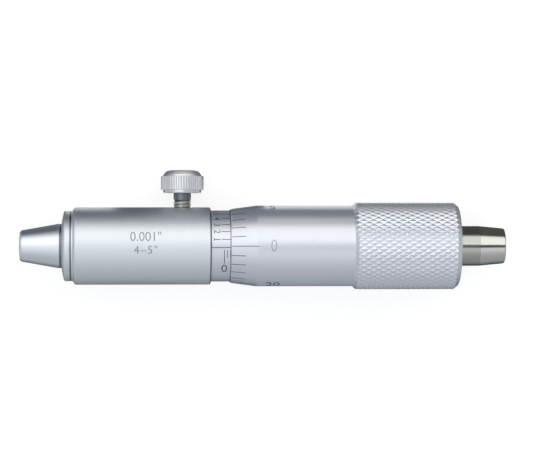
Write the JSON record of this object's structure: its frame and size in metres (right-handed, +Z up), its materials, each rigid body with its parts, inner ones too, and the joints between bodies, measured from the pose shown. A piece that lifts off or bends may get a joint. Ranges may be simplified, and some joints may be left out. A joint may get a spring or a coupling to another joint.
{
  "type": "inside micrometer",
  "caption": "Tubular inside micrometer with a graduated sleeve, a knurled thimble on a screw, a lock screw and domed measuring faces at both ends.",
  "frame": {"origin": "centre of the fixed measuring face, on the flat crown of the anvil's dome", "axes": "+X along the measuring axis towards the spindle contact; +Z up, as the micrometer lies on its knurled grip and the rim of its lock knob"},
  "size_m": [0.1029, 0.0252, 0.0184],
  "materials": {
    "satin_chrome": "satin chrome plate on turned steel",
    "body_chrome": "satin chrome plate on turned steel",
    "scale_chrome": "fine matt chrome plate, engraved and filled black",
    "bright_chrome": "bright chrome plate",
    "ground_steel": "hardened, ground and lapped",
    "turned_steel": "turned",
    "dark_steel": "oiled, darkened",
    "bronze": "reamed bronze",
    "brass": "turned brass"
  },
  "bodies": {
    "body": {"body_tube": "body_chrome", "fixed_anvil": "satin_chrome", "end_cap": "satin_chrome", "anvil_nut": "turned_steel", "inner_barrel": "turned_steel", "guide_bush": "bronze", "adjusting_nut": "turned_steel"},
    "sleeve": {"graduated_sleeve": "scale_chrome"},
    "contact": {"spindle_contact": "ground_steel"},
    "thimble": {"thimble": "scale_chrome", "spindle": "ground_steel"},
    "lock_pad": {"clamp_pad": "brass"},
    "lock_screw": {"lock_stem": "dark_steel", "lock_knob": "bright_chrome"}
  },
  "joints": [
    {"name": "sleeve_zero_turn", "type": "hinge", "parent": "body", "child": "sleeve", "pos_m": [0.04, 0, 0], "axis": [1, 0, 0], "range_deg": [-15, 15]},
    {"name": "spindle_travel", "type": "slide", "parent": "body", "child": "contact", "axis": [1, 0, 0], "range_m": [-0.00127, 0.02413]},
    {"name": "thimble_turn", "type": "hinge", "parent": "contact", "child": "thimble", "pos_m": [0, 0, 0], "axis": [1, 0, 0], "range_deg": [-720.1, 13680.1]},
    {"name": "lock_travel", "type": "slide", "parent": "body", "child": "lock_pad", "axis": [0, 0.9416, -0.3367], "range_m": [-0.00017, 0.0014]},
    {"name": "lock_turn", "type": "hinge", "parent": "lock_pad", "child": "lock_screw", "pos_m": [0.03427, 0, 0], "axis": [0, 0.9416, -0.3367], "range_deg": [-90.1, 720.1]}
  ],
  "couplings": [
    {"joint": "thimble_turn", "follows": "spindle_travel", "rad_per_m": 9894.8},
    {"joint": "lock_turn", "follows": "lock_travel", "rad_per_m": 8976}
  ]
}
